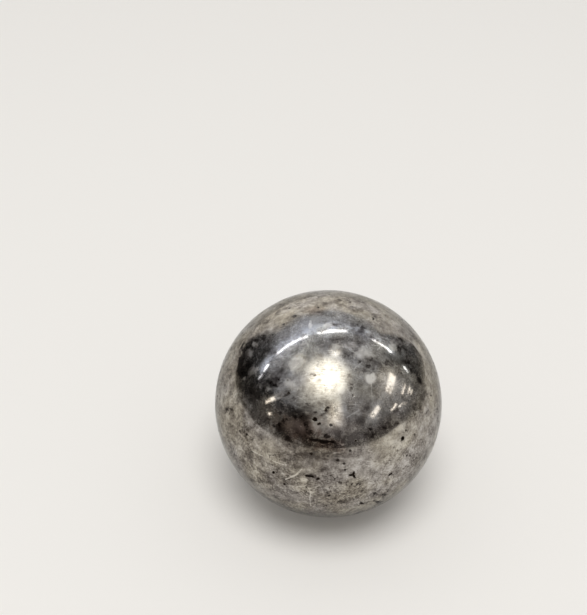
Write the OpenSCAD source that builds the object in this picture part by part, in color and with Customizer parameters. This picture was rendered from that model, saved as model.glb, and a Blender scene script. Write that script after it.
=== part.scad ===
// Solid steel ball with corrosion pits in its polished surface.
// Millimetres. The origin is the ball's centre, +Z is up and -Y is the front.

/* [Ball] */
// Diameter of the ball
ball_d = 50.8; // [25.4:0.1:101.6]

/* [Large pits] */
// Width of a large pit across its mouth
large_pit_d = 0.9; // [0.6:0.05:1.4]
// Depth of a large pit at its middle
large_pit_depth = 0.26; // [0.1:0.02:0.3]

/* [Small pits] */
// Width of a small pit across its mouth
small_pit_d = 0.5; // [0.3:0.05:0.8]
// Depth of a small pit at its middle
small_pit_depth = 0.14; // [0.06:0.02:0.14]

/* [Pits that have run together] */
// Distance along the surface between the middles of joined pits
joined_pit_step = 0.45; // [0.3:0.05:0.5]

/* [Hidden] */

ball_r = ball_d / 2;
ball_segments = 180;
pit_segments = 24;

// Places are [azimuth, elevation] in degrees: azimuth turns from +X towards +Y,
// and elevation climbs from the XY plane towards +Z.
LARGE_PITS = [[-99.5, 35.5], [-51.5, 19], [173, 71.5]];
SMALL_PITS = [
    [-119, 44], [-83.5, 14.5], [-83, 11], [-90.5, 33.5], [-99.5, 19], [-111.5, -2.5],
    [-86.5, 16.5], [-80.5, 21], [-77.5, 25.5], [-76, 46.5], [-43.5, 17], [-73, -16],
    [-176, 66],
];
// Small pits in a row: where its middle is, its turn from east towards north, and how many
// steps each pit is from the middle
PIT_ROWS = [
    [[-99.5, 6.5], 0, [-1.3, -0.4, 0.6, 1.4]],
    [[-59.8, 1.8], 22, [-0.5, 0.5]],
    [[-95.5, 5.5], 35, [-0.35, 0.35]],
    [[-97, 33.7], 32, [-0.25, 0.25]],
    [[-117.3, 2.8], 60, [-0.35, 0.35]],
    [[-93.3, 41], 42, [-0.5, 0.5]],
];
// A small pit with another run into it on each arm, turned from east towards north
STAR_PIT = [-79, 7.5];
STAR_ARMS = [80, 173, 300];

// Angle at the ball's centre of an arc of this length on its surface
function arc_angle(length) = length / ball_r * 180 / PI;

// Carries its children to a place on the surface: +X is outward, +Y east and +Z north
module at_place(place) {
    rotate([0, 0, place[0]]) rotate([0, -place[1], 0]) children();
}

// Shifts its children along the surface by a length, in a direction from east towards north
module along_surface(length, direction = 0) {
    rotate([direction, 0, 0]) rotate([0, 0, arc_angle(length)]) children();
}

// Rounded cutter that leaves a pit of this width and depth where +X meets the surface
module pit(width, depth) {
    mouth_r = width / 2;
    mouth_x = sqrt(ball_r * ball_r - mouth_r * mouth_r);
    below_mouth = mouth_x - (ball_r - depth);
    cutter_r = (mouth_r * mouth_r + below_mouth * below_mouth) / (2 * below_mouth);
    translate([ball_r - depth + cutter_r, 0, 0])
        sphere(r = cutter_r, $fn = pit_segments);
}

module large_pit() {
    pit(large_pit_d, large_pit_depth);
}

module small_pit() {
    pit(small_pit_d, small_pit_depth);
}

module pit_row(turn, steps) {
    for (step = steps) along_surface(step * joined_pit_step, turn) small_pit();
}

module star_pit() {
    small_pit();
    for (arm = STAR_ARMS) along_surface(joined_pit_step, arm) small_pit();
}

module pits() {
    for (place = LARGE_PITS) at_place(place) large_pit();
    for (place = SMALL_PITS) at_place(place) small_pit();
    for (row = PIT_ROWS) at_place(row[0]) pit_row(row[1], row[2]);
    at_place(STAR_PIT) star_pit();
}

module ball() {
    color([0.58, 0.55, 0.53])
        difference() {
            sphere(r = ball_r, $fn = ball_segments);
            pits();
        }
}

ball();
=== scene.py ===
"""Dresses a solid steel ball: its ground and tarnished surface, rust pits, studio and camera."""

import logging
import math
import random
from dataclasses import dataclass, field
from enum import Enum
from typing import Any

import bmesh
import bpy
from mathutils import Matrix, Vector, kdtree, noise

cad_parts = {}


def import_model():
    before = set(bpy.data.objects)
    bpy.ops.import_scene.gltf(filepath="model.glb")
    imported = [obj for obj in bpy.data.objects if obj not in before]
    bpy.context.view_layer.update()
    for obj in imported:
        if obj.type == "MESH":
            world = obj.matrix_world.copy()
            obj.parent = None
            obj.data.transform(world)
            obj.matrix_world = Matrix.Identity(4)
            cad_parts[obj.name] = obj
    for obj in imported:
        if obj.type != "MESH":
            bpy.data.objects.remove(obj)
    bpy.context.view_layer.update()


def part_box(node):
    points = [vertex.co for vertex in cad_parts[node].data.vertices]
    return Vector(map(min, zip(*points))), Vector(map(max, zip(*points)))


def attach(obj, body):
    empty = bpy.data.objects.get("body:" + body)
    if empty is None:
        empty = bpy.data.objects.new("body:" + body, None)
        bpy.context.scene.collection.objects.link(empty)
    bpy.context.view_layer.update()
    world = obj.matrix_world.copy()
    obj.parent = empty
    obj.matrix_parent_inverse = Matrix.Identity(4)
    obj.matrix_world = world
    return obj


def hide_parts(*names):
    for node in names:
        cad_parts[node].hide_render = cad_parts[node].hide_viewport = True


LOG = logging.getLogger("steel_ball")
BALL_NODE = "ball"
BODY = "root"
BAKE_MAP = "OFBake"
PIT_MASK = "pit_mask"
GLOW = "glow"
MM = 0.001
FRAME_WIDTH_PX = 587
FRAME_HEIGHT_PX = 615

# An azimuth from +X towards +Y and an elevation, in degrees.
Place = tuple[float, float]
# Light as linear red, green and blue, which pass 1 where it is bright.
Light = tuple[float, float, float]
# Outputs in a material's node tree, by name.
Parts = dict[str, bpy.types.NodeSocket]


def linear_colour(hex_colour: str) -> tuple[float, float, float, float]:
    """Turns an sRGB hex colour into the linear colour that a shader socket takes.

    Args:
        hex_colour: The colour as "#RRGGBB".

    Returns:
        Linear red, green and blue, and an alpha of 1.
    """
    channels = []
    for start in (1, 3, 5):
        value = int(hex_colour[start : start + 2], 16) / 255
        channels.append(value / 12.92 if value <= 0.04045 else ((value + 0.055) / 1.055) ** 2.4)
    return (channels[0], channels[1], channels[2], 1.0)


def add_node(
    tree: bpy.types.NodeTree,
    kind: str,
    inputs: dict[str | int, Any] | None = None,
    out: str | int = 0,
    **settings: Any,
) -> bpy.types.NodeSocket | None:
    """Adds a node, sets it up and links it.

    Args:
        tree: The tree that gets the node.
        kind: The node's type, such as "ShaderNodeMath".
        inputs: Input name or number to a value, or to the output that feeds it.
        out: Name or number of the output to hand back.
        settings: Properties of the node itself, such as its operation.

    Returns:
        The node's output, or None where it has none.
    """
    node = tree.nodes.new(kind)
    for name, value in settings.items():
        setattr(node, name, value)
    for key, value in (inputs or {}).items():
        if isinstance(value, bpy.types.NodeSocket):
            tree.links.new(value, node.inputs[key])
        else:
            node.inputs[key].default_value = value
    return node.outputs[out] if node.outputs else None


def cleared_tree(holder: bpy.types.Material | bpy.types.World) -> bpy.types.NodeTree:
    """Gives a material or a world an empty node tree.

    Args:
        holder: The material or world.

    Returns:
        Its tree.
    """
    holder.use_nodes = True
    holder.node_tree.nodes.clear()
    return holder.node_tree


def outward(azimuth: float, elevation: float) -> Vector:
    """Gives the unit direction at an azimuth from +X towards +Y and an elevation, in degrees."""
    turn, climb = math.radians(azimuth), math.radians(elevation)
    return Vector(
        (math.cos(climb) * math.cos(turn), math.cos(climb) * math.sin(turn), math.sin(climb))
    )


def room_direction(azimuth: float, elevation: float) -> Vector:
    """Gives the unit direction at an azimuth from +Y towards +X and an elevation, in degrees."""
    return outward(90 - azimuth, elevation)


def place_frame(azimuth: float, elevation: float, turn: float = 0.0) -> Matrix:
    """Gives the frame of a place on the ball: X outward, Y east and Z north, turned about X.

    Args:
        azimuth: Degrees from +X towards +Y.
        elevation: Degrees above the XY plane.
        turn: Degrees that east is turned towards north.

    Returns:
        The frame as a 4 by 4 rotation.
    """
    return (
        Matrix.Rotation(math.radians(azimuth), 4, "Z")
        @ Matrix.Rotation(math.radians(-elevation), 4, "Y")
        @ Matrix.Rotation(math.radians(turn), 4, "X")
    )


def smooth_step(low: float, high: float, value: float) -> float:
    """Climbs smoothly from 0 at low to 1 at high."""
    share = min(max((value - low) / (high - low), 0.0), 1.0)
    return share * share * (3 - 2 * share)


def add_mesh_object(name: str, mesh: bmesh.types.BMesh) -> bpy.types.Object:
    """Turns a bmesh into a mesh object in the scene, with smooth shading, and frees the bmesh.

    Args:
        name: The object's name.
        mesh: The geometry.

    Returns:
        The new object.
    """
    data = bpy.data.meshes.new(name)
    mesh.to_mesh(data)
    mesh.free()
    data.shade_smooth()
    made = bpy.data.objects.new(name, data)
    bpy.context.scene.collection.objects.link(made)
    return made


class PitKind(Enum):
    """The kinds of rust pit, as (width across the mouth in mm, depth in mm, darkness)."""

    LARGE = (0.9, 0.26, 1.0)
    RUSTED = (0.9, 0.26, 0.5)
    SMALL = (0.5, 0.14, 1.0)
    DULL = (0.5, 0.14, 0.8)
    FAINT = (0.5, 0.14, 0.45)
    FINE = (0.36, 0.08, 0.9)

    @property
    def width_mm(self) -> float:
        """Width across the mouth."""
        return self.value[0]

    @property
    def depth_mm(self) -> float:
        """Depth at the middle."""
        return self.value[1]

    @property
    def darkness(self) -> float:
        """How much of the pit is filled with oxide, from 0 to 1."""
        return self.value[2]


@dataclass(frozen=True)
class Pit:
    """One rust pit, at a direction from the ball's centre."""

    direction: Vector
    kind: PitKind


@dataclass(frozen=True)
class PitRow:
    """Pits that have run together in a row, each so many steps from the row's middle."""

    azimuth: float
    elevation: float
    turn: float
    steps: tuple[float, ...]
    kind: PitKind = PitKind.SMALL


@dataclass(frozen=True)
class PitField:
    """Where the ball is pitted. The larger pits lie where they do in the solid."""

    large: tuple[Place, ...] = ((-99.5, 35.5), (-51.5, 19))
    rusted: tuple[Place, ...] = ((173, 71.5),)
    small: tuple[Place, ...] = ((-111.5, -2.5), (-77.5, 25.5), (-73, -16))
    dull: tuple[Place, ...] = (
        (-119, 44), (-83.5, 14.5), (-83, 11), (-90.5, 33.5), (-86.5, 16.5), (-80.5, 21),
        (-99.5, 19),
    )
    faint: tuple[Place, ...] = ((-76, 46.5), (-43.5, 17), (-176, 66))
    rows: tuple[PitRow, ...] = (
        PitRow(-99.5, 6.5, 0, (-1.3, -0.4, 0.6, 1.4)),
        PitRow(-59.8, 1.8, 22, (-0.5, 0.5)),
        PitRow(-95.5, 5.5, 35, (-0.35, 0.35)),
        PitRow(-97, 33.7, 32, (-0.25, 0.25)),
        PitRow(-117.3, 2.8, 60, (-0.35, 0.35)),
        PitRow(-93.3, 41, 42, (-0.5, 0.5), PitKind.DULL),
    )
    star: Place = (-79, 7.5)
    star_arms: tuple[float, ...] = (80, 173, 300)
    joined_step_mm: float = 0.45
    arm_tip_mm: float = 0.8
    fine: tuple[Place, ...] = ((-48.5, 22), (-50, 8.5), (-79.5, 2), (-75.5, 1))
    fine_count: int = 130
    # The scattered pits keep this far from the middle of the placed ones.
    front: Place = (-95, 25)
    clear_of_front_deg: float = 70
    seed: int = 11

    def pits(self, radius: float) -> list[Pit]:
        """Lists every pit.

        Args:
            radius: The ball's radius in metres.

        Returns:
            The listed pits and the fine ones scattered all round.
        """
        step = math.degrees(self.joined_step_mm * MM / radius)
        placed = (
            (self.large, PitKind.LARGE), (self.rusted, PitKind.RUSTED),
            ((*self.small, self.star), PitKind.SMALL), (self.dull, PitKind.DULL),
            (self.faint, PitKind.FAINT), (self.fine, PitKind.FINE),
        )
        found = [Pit(outward(*place), kind) for places, kind in placed for place in places]
        for row in self.rows:
            for count in row.steps:
                middle = (row.azimuth, row.elevation)
                found.append(Pit(self._beside(middle, row.turn, count * step), row.kind))
        tip = math.degrees(self.arm_tip_mm * MM / radius)
        for arm in self.star_arms:
            found.append(Pit(self._beside(self.star, arm, step), PitKind.SMALL))
            found.append(Pit(self._beside(self.star, arm, tip), PitKind.FINE))
        return found + self._scattered()

    @staticmethod
    def _beside(place: Place, turn: float, angle: float) -> Vector:
        """Gives the direction an angle away from a place, along the surface."""
        shifted = Matrix.Rotation(math.radians(angle), 4, "Z") @ Vector((1, 0, 0))
        return (place_frame(*place, turn) @ shifted).normalized()

    def _scattered(self) -> list[Pit]:
        """Scatters fine pits over the sphere, away from the placed ones at the front.

        Returns:
            The scattered pits.
        """
        draw = random.Random(self.seed)
        front = outward(*self.front)
        found = []
        while len(found) < self.fine_count:
            elevation = math.degrees(math.asin(draw.uniform(-1, 1)))
            direction = outward(draw.uniform(-180, 180), elevation)
            if math.degrees(direction.angle(front)) > self.clear_of_front_deg:
                found.append(Pit(direction, PitKind.FINE))
        return found


class Stain(Enum):
    """What a mark does to the steel. Each value names the mesh layer that holds its strength."""

    OXIDE = "oxide"
    FILM = "film"
    # Bright marks include painted highlights, and film marks painted shade, as the wear map notes.
    BRIGHT = "bright"
    BLOOM = "bloom"
    RUST = "rust"
    SCRATCH = "scratch"
    HANDLED = "handled"


@dataclass(frozen=True)
class Mark:
    """A stain with a soft, ragged edge, about as wide and high as it says."""

    azimuth: float
    elevation: float
    width_mm: float
    height_mm: float
    turn: float = 0.0
    strength: float = 1.0
    softness: float = 0.5
    ragged_share: float = 0.6
    ragged_mm: float = 1.0

    @property
    def direction(self) -> Vector:
        """Direction of the mark's middle from the ball's centre."""
        return outward(self.azimuth, self.elevation)

    @property
    def reach(self) -> float:
        """Distance in metres past which the mark leaves nothing."""
        grown = (1 + self.softness) * (1 + self.ragged_share)
        return max(self.width_mm, self.height_mm) / 2 * MM * grown

    def amount(self, point: Vector) -> float:
        """Says how strong the mark is at a point on the ball.

        Args:
            point: The point, in metres from the ball's centre.

        Returns:
            The mark's strength there, from 0 to its full strength.
        """
        beside = place_frame(self.azimuth, self.elevation, self.turn).inverted() @ point
        if beside.x <= 0:
            return 0.0
        across = beside.y / (self.width_mm / 2 * MM)
        along = beside.z / (self.height_mm / 2 * MM)
        ragged = 1 + self.ragged_share * noise.noise(point / (self.ragged_mm * MM))
        off = math.hypot(across, along) * ragged
        return self.strength * (1 - smooth_step(1 - self.softness, 1 + self.softness, off))


@dataclass(frozen=True)
class Scratch:
    """A shallow scratch through a few places on the ball."""

    places: tuple[Place, ...]
    width_mm: float = 0.3
    strength: float = 1.0
    flat_share: float = 0.15

    def points(self, radius: float) -> list[Vector]:
        """Lists the scratch's corners on the ball."""
        return [outward(*place) * radius for place in self.places]

    def spots(self, radius: float, step: float) -> list[Vector]:
        """Lists points along the scratch.

        Args:
            radius: The ball's radius in metres.
            step: The distance between the points in metres.

        Returns:
            The points, on the ball.
        """
        found = []
        corners = self.points(radius)
        for start, end in zip(corners, corners[1:]):
            count = max(2, round((end - start).length / step) + 1)
            for number in range(count):
                middle = start.lerp(end, number / (count - 1))
                found.append(middle.normalized() * radius)
        return found

    def amount(self, point: Vector, corners: list[Vector]) -> float:
        """Says how deep in the scratch a point on the ball lies.

        Args:
            point: The point, in metres from the ball's centre.
            corners: The scratch's corners on the ball.

        Returns:
            How deep it lies, from 0 to the scratch's strength.
        """
        nearest = min(
            self._distance(point, start, end) for start, end in zip(corners, corners[1:])
        )
        beside = nearest / (self.width_mm / 2 * MM)
        return self.strength * (1 - smooth_step(self.flat_share, 1.0, beside))

    @staticmethod
    def _distance(point: Vector, start: Vector, end: Vector) -> float:
        """Measures how far a point is from a straight piece of the scratch.

        Args:
            point: The point.
            start: The piece's start.
            end: The piece's end.

        Returns:
            The distance, in metres.
        """
        run = end - start
        share = min(max((point - start).dot(run) / run.length_squared, 0.0), 1.0)
        return (point - (start + run * share)).length


@dataclass(frozen=True)
class WearMap:
    """Where the ball is stained and scratched, and where painted highlights and painted shade lie in
    its colour.
    """

    # Black oxide, in patches and in specks that have run together.
    oxide: tuple[Mark, ...] = (
        Mark(-170, 52, 6.0, 2.7, 40, 0.6), Mark(-176, 42, 4.7, 2.2, 23, 0.7),
        Mark(-165, 38, 5.9, 2.1, -15, 0.8), Mark(-130, 46, 4.3, 1.9, 26, 0.7),
        Mark(-139, 35, 5.4, 3.2, 31, 0.35), Mark(-119, 43.5, 3.0, 1.3, 21, 0.35, 0.8),
        Mark(-106, 55.5, 1.2, 0.8, -9, 0.3), Mark(-76, 53, 3.2, 1.8, 78, 0.4),
        Mark(-73, 65.5, 2.0, 1.7, 9, 0.4), Mark(-63, 61, 1.5, 1.3, 0, 0.5, 0.8),
        Mark(-57.5, 58, 1.4, 1.2, 0, 0.5, 0.8), Mark(-51, 60.5, 1.2, 1.0, 0, 0.4, 0.8),
        Mark(-40.5, 55, 2.6, 1.4, -27, 0.5, 0.8), Mark(-11, 55.5, 3.3, 1.8, -30, 0.5),
        Mark(-16.5, 54, 2.8, 2.4, 0, 0.6), Mark(-23.5, 44.5, 2.0, 3.4, 0, 0.6),
        Mark(-23.5, 36, 1.8, 4.2, 0, 0.45), Mark(-27, 76, 2.5, 1.5, -39, 0.5),
        Mark(-110, 35.5, 5.0, 1.6, 8, 0.2, 0.8), Mark(-118.7, 27.8, 2.6, 1.6, 5, 0.45),
        Mark(-114.5, 38.9, 1.3, 0.8, 20, 0.5, 0.7), Mark(-119.8, 34.4, 1.1, 0.8, -40, 0.5, 0.7),
        Mark(-116.5, 32, 1.4, 1.8, -30, 0.6, 0.7), Mark(-110.7, 35, 1.2, 0.9, 0, 0.6, 0.7),
        Mark(-106, 35.8, 1.3, 1.0, 30, 0.6, 0.7), Mark(-103.8, 33, 1.0, 1.2, 0, 0.6, 0.7),
        Mark(-103.5, 31.5, 1.3, 3.6, 12, 0.6, 0.7), Mark(-96, 38.6, 2.2, 0.5, 0, 0.4, 0.8),
        Mark(-101.5, 28, 1.6, 3.4, 0, 0.7), Mark(-112, 24.2, 1.1, 0.7, 20, 0.6, 0.7),
        Mark(-93.7, 25.8, 4.3, 0.7, 0, 1.2, 0.4), Mark(-92.3, 28, 1.2, 1.1, 3, 1.1),
        Mark(-71.5, 28, 1.3, 0.8, -20, 0.5, 0.8), Mark(-69, 30, 1.2, 0.9, -10, 0.6, 0.8),
        Mark(-67, 27, 1.8, 1.1, -10, 0.5, 0.8), Mark(-64, 29, 1.1, 0.7, -30, 0.5, 0.8),
        Mark(-61, 28, 1.5, 0.8, -23, 0.6, 0.8), Mark(-57.5, 27.5, 1.2, 0.6, -20, 0.4, 0.8),
        Mark(-53, 27.5, 1.3, 0.7, -21, 0.5, 0.8), Mark(-94, 40, 2.6, 0.7, 38, 0.45, 0.8),
        Mark(-139, 14.3, 1.1, 0.7, 20, 0.4), Mark(-134.7, 15.3, 1.4, 0.7, 10, 0.4),
        Mark(-131, 15.5, 1.2, 0.8, 10, 0.4), Mark(-153, 17.5, 3.9, 1.5, 40, 0.6),
        Mark(-99.3, 6.2, 2.4, 1.0, -5, 0.6), Mark(-60.5, -14.5, 2.8, 0.9, -49, 0.55),
        Mark(-66.7, -9.3, 2.6, 0.8, -49, 0.7), Mark(-63, -19.5, 3.1, 1.0, -52, 0.8),
        Mark(-73, -15.5, 1.4, 0.7, -58, 0.9), Mark(-48.5, 9, 1.8, 1.0, -67, 0.4),
        Mark(-68, 12.5, 2.0, 0.5, -18, 0.5), Mark(-84, -11.5, 2.2, 0.9, -9, 0.6),
    )
    # Grey-brown film that is thicker than round it. Some marks, noted below, are partly painted shade,
    # and some darken broad parts of the ball.
    film: tuple[Mark, ...] = (
        # The two marks below and the first on the line after them darken the steel in a band just above
        # the overhead highlight.
        Mark(-97, 71, 3.2, 1.6, 12, 0.9), Mark(-82, 74.5, 3.8, 1.2, -5, 0.9),
        # The last mark below is partly film and partly painted shade: darker where the ball mirrors the
        # shaded floor in front of it.
        Mark(-80, 72, 12, 4, 0, 0.4, 0.8), Mark(-92, 17, 8.0, 3.6, 2, 0.7),
        Mark(-112, 30.5, 9.5, 8.0, 0, 0.2, 0.7), Mark(-101, 15.5, 11.0, 5.0, 0, 1.05, 0.8),
        Mark(-82, 19, 3.2, 2.2, 0, 1.2, 0.7), Mark(-132.6, 48.4, 2.0, 4.0, 0, 1.5, 0.7),
        Mark(-73.8, 34.7, 3.0, 2.0, 0, 0.8, 0.7), Mark(-28.5, 33, 1.8, 3.0, 0, 0.7, 0.7),
        Mark(-129.5, 34.3, 2.0, 3.0, 0, 0.7, 0.7), Mark(-109.3, 21.1, 3.0, 2.2, 0, 1.6, 0.7),
        Mark(-133, 1, 5.0, 5.0, 0, 1.1, 0.7), Mark(-141.5, 7.6, 3.4, 3.4, 0, 0.9, 0.7),
        Mark(-74.6, -8, 3.4, 2.8, 0, 1.1, 0.7), Mark(-156.5, 41, 4.0, 7.0, 0, 1.1, 0.7),
        Mark(-119.4, -10.5, 3.0, 3.0, 0, 0.8, 0.7), Mark(-115.9, 26.7, 3.4, 2.4, 0, 0.8, 0.7),
        Mark(-108.6, 4.5, 3.6, 2.6, 0, 1.2, 0.7), Mark(-105, 47.8, 3.4, 1.8, 0, 0.5, 0.7),
        Mark(-116, 38, 5.0, 5.0, 0, 0.35), Mark(-37.2, 74, 2.6, 1.8, 0, 1.8, 0.7),
        Mark(-115.4, 45.4, 3.0, 2.0, 0, 0.6, 0.7), Mark(-104.5, 38.5, 4.2, 4.0, 0, 1.0, 0.7),
        # Both marks below are partly film and partly painted shade: darker where the ball mirrors the
        # shaded floor in front of it.
        Mark(-97, 18.5, 4.4, 3.0, 0, 1.5, 0.7), Mark(-108, 12.5, 5.5, 3.0, 0, 1.25, 0.7),
        Mark(-123, 14.5, 3.0, 2.4, 0, 1.1, 0.7), Mark(-73.8, -5.4, 3.0, 2.4, 0, 1.1, 0.7),
        Mark(-113.7, -8.6, 2.6, 2.4, 0, 1.1, 0.7), Mark(-145.7, 10.7, 3.0, 3.0, 0, 0.9, 0.7),
        # The last mark below is partly film and partly painted shade: darker where the ball mirrors the
        # shade in front of it.
        Mark(163.5, 71.8, 2.8, 1.6, 0, 0.6, 0.7), Mark(-99, 21, 12.0, 4.0, 0, 0.7, 0.7),
        Mark(-70, 25, 12.0, 5.0, -15, 0.15, 0.7), Mark(-91, 23.5, 5.8, 1.4, 2, 1.0),
        Mark(-63, 28, 10, 2.6, -12, 0.15, 0.8), Mark(-158, 43, 13, 14, 0, 0.6, 0.8),
        Mark(-34, 25, 1.8, 1.5, 68, 0.7), Mark(-75, -2.5, 3.7, 2.1, -26, 0.6),
        Mark(-66, -7.5, 4.2, 1.4, -32, 0.6), Mark(-112, -19.5, 6.1, 2.5, 66, 0.5),
        Mark(-144, -3.5, 5.7, 1.8, 52, 0.5), Mark(-135, 8, 9.0, 6.0, 20, 0.15, 0.8),
        # The last mark below and the two on the next line make the lower half darker: on the left, in
        # front and on the right.
        Mark(110, 80, 2.8, 2.1, 74, 0.5), Mark(-128, -12, 30, 24, 0, 0.45, 0.8),
        Mark(-92, -8, 22, 26, 0, 0.65, 0.8), Mark(-50, -22, 26, 20, 30, 0.3, 0.8),
        Mark(-110, 13, 13, 7, -10, 0.65), Mark(-67, 44, 4, 7, 0, 0.5), Mark(-41, 56.5, 6, 4, -20, 0.5),
        Mark(-132.5, 48.5, 4, 4, 0, 0.4), Mark(-177, 49, 7, 5, 0, 0.5),
    )
    # Bare steel, or nearly so. Some marks, noted below, are partly painted highlights and painted
    # reflections.
    bright: tuple[Mark, ...] = (
        Mark(-59.6, 52, 2.4, 2.3, 0, 1.8, 0.4, 0.3), Mark(-57.8, 64.1, 2.2, 2.4, 0, 0.6, 0.8),
        # The last mark below and the first on the next line lie under pale blots of residue. They are
        # partly painted sheen: the steel is lighter there to stand for the overhead highlight that the
        # blots scatter.
        Mark(-170.2, 49.4, 2.6, 1.1, 30, 0.9), Mark(-123.4, 58.1, 2.4, 2.6, 0, 0.9, 0.8),
        # The last mark below is partly bare steel and partly a painted highlight: the film is thinned
        # where the overhead highlight mirrors, so that it shows smooth and white.
        Mark(-121.8, 48.2, 2.8, 1.6, 10, 0.7, 0.8), Mark(-94, 56, 12.0, 11.0, 0, 1.2, 0.8),
        Mark(-108.5, 42, 7, 4, 0, 0.9), Mark(-136, 37, 7, 3, 30, 0.5), Mark(-115, 55, 4, 6, 0, 0.6),
        # The middle mark below is partly bare steel and partly a painted reflection: lighter where a
        # lamp on the right mirrors.
        Mark(-74, 4.5, 5, 6, 0, 0.5), Mark(-46, 47, 4.5, 6, 0, 0.7), Mark(-103, 77, 4, 2, 0, 0.8),
        # The first two marks below are partly bare steel and partly painted reflections: lighter where
        # a lamp on the right and the mirrored floor's edge on the right show.
        Mark(-63.2, 36.5, 4, 3.4, 0, 0.6), Mark(-58, 20, 7, 3, -20, 0.6), Mark(-95.5, 35, 5, 5, 0, 0.7),
        Mark(-112, 30.3, 3.6, 2.6, 0, 1.9, 0.8), Mark(-121.3, 31, 1.8, 1.6, 0, 1.5, 0.7),
        Mark(-123.4, 37.7, 1.8, 1.8, 0, 2.2, 0.7), Mark(-128.5, 40, 2.0, 2.4, 0, 1.5, 0.7),
        Mark(-107.3, 42.3, 2.6, 1.4, 0, 1.5, 0.7), Mark(-96.4, 36.3, 1.8, 1.8, 0, 0.6, 0.7),
        Mark(-54.8, 56, 3.0, 2.4, 0, 0.7, 0.7), Mark(-119.5, 62, 4.6, 2.8, 0, 1.3, 0.7),
        Mark(-112.2, 53.1, 2.6, 2.6, 0, 1.4, 0.7), Mark(-51, 44.7, 1.4, 1.8, 0, 1.4, 0.7),
        Mark(-53, 25.5, 3.6, 1.8, -20, 1.5, 0.7), Mark(-79, 26.5, 4.0, 1.8, 0, 0.9, 0.7),
        Mark(-93, 8.4, 2.8, 2.2, 0, 0.6, 0.7), Mark(-97.2, -11, 2.6, 2.2, 0, 0.6, 0.7),
        Mark(-148, 80, 5.5, 5.0, 0, 1.9, 0.7), Mark(-78, 79, 4.5, 2.6, -40, 1.3, 0.7),
        Mark(-147.5, 47.5, 3.0, 3.5, 0, 2.0, 0.7), Mark(-84, 41.5, 2.0, 3.4, 0, 1.9, 0.7),
        Mark(-29, 57, 3.4, 2.6, 0, 1.6, 0.7), Mark(-25, 52.5, 2.4, 2.4, 0, 1.2, 0.7),
        Mark(-102.4, 67, 2.4, 1.6, 0, 1.1, 0.7), Mark(-1, 42.5, 2.4, 3.0, 0, 1.9, 0.7),
        Mark(-89.4, -0.8, 3.0, 2.0, 0, 1.4, 0.7), Mark(-73.5, 6, 2.6, 2.4, 0, 1.3, 0.7),
        Mark(-83.5, 7.5, 2.6, 2.0, 0, 1.0, 0.7), Mark(-54.8, 15, 4.0, 2.0, 0, 1.0, 0.7),
        Mark(-158, 23, 4.0, 6.0, 0, 0.7, 0.7), Mark(112, 75, 7.0, 3.0, 0, 0.6, 0.7),
        Mark(-50.5, 34, 2.4, 2.0, 0, 0.9, 0.7), Mark(-85.5, 42.5, 4, 3, 0, 0.5),
        Mark(120, 70.5, 10, 3, 0, 0.7), Mark(-30, 46.5, 3.0, 2.2, 0, 0.8),
        Mark(-102.5, 4, 1.9, 1.2, -14, 1.7), Mark(-106, -2.5, 4.7, 1.7, 23, 0.7),
        Mark(-99, -3.5, 2.6, 0.9, 90, 0.5), Mark(-129, -3, 4.6, 3.3, -83, 0.3),
        Mark(-73, 11, 9.7, 5.5, -20, 0.5, 0.7), Mark(-71, 2.5, 1.9, 1.1, -28, 0.7),
        Mark(-125, 14, 3.8, 1.7, 15, 0.5), Mark(-115.5, 10.5, 4.6, 1.3, -4, 0.6),
        Mark(-66, 21.5, 1.0, 0.6, 51, 0.8),
    )
    # Pale, dry residue.
    bloom: tuple[Mark, ...] = (
        Mark(-61.7, 52.8, 1.5, 1.6, 0, 1.5, 0.35, 0.3), Mark(-57.5, 52.4, 1.5, 1.6, 0, 1.5, 0.35, 0.3),
        Mark(-60, 51.2, 1.9, 1.4, 0, 1.5, 0.35, 0.3), Mark(-55, 64.5, 3.5, 2.6, -12, 0.5),
        Mark(-57.8, 64.1, 2.2, 2.4, 0, 0.9, 0.8), Mark(-50.7, 62.7, 2.2, 2.2, 0, 0.8, 0.8),
        Mark(-170.2, 49.4, 2.6, 1.1, 30, 0.9), Mark(-123.4, 58.1, 2.2, 2.6, 0, 1.2, 0.8, 0.6),
        Mark(-121.8, 48.2, 2.6, 1.5, 10, 1.1, 0.8, 0.6), Mark(-86.5, 70.5, 2.6, 1.7, 0, 0.5),
        Mark(-167, 45, 2.9, 1.7, 18, 0.7), Mark(-151.5, 42.5, 4.6, 2.1, 34, 0.5),
        Mark(-19, 57, 4.2, 2.1, -10, 0.7), Mark(-148.5, 77.5, 2.5, 0.9, -30, 0.8),
        Mark(-109, 82.5, 1.8, 1.6, 17, 0.7), Mark(-63.5, 70, 3.0, 2.0, -12, 0.5),
        Mark(-125, 41, 2.0, 1.2, 24, 0.6),
    )
    # Brown rust under the film.
    rust: tuple[Mark, ...] = (
        Mark(-109, 30, 8.0, 5.0, 10, 0.45), Mark(-91, 24.5, 6.0, 2.6, 2, 0.4),
        Mark(157, 81, 3.8, 3.0, 86, 0.25),
    )
    # Where handling has rubbed the grain smooth.
    handled: tuple[Mark, ...] = (
        Mark(-95, 54, 42, 38, 0, 0.75, 0.2, 0.2, 6.0), Mark(-95, 56, 15, 13, 0, 1.0, 0.4, 0.2, 6.0),
        Mark(-46, 36, 10, 8, 0, 0.6, 0.4, 0.2, 6.0), Mark(-127, 34, 5, 6, 0, 0.6, 0.4, 0.2, 6.0),
    )
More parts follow.
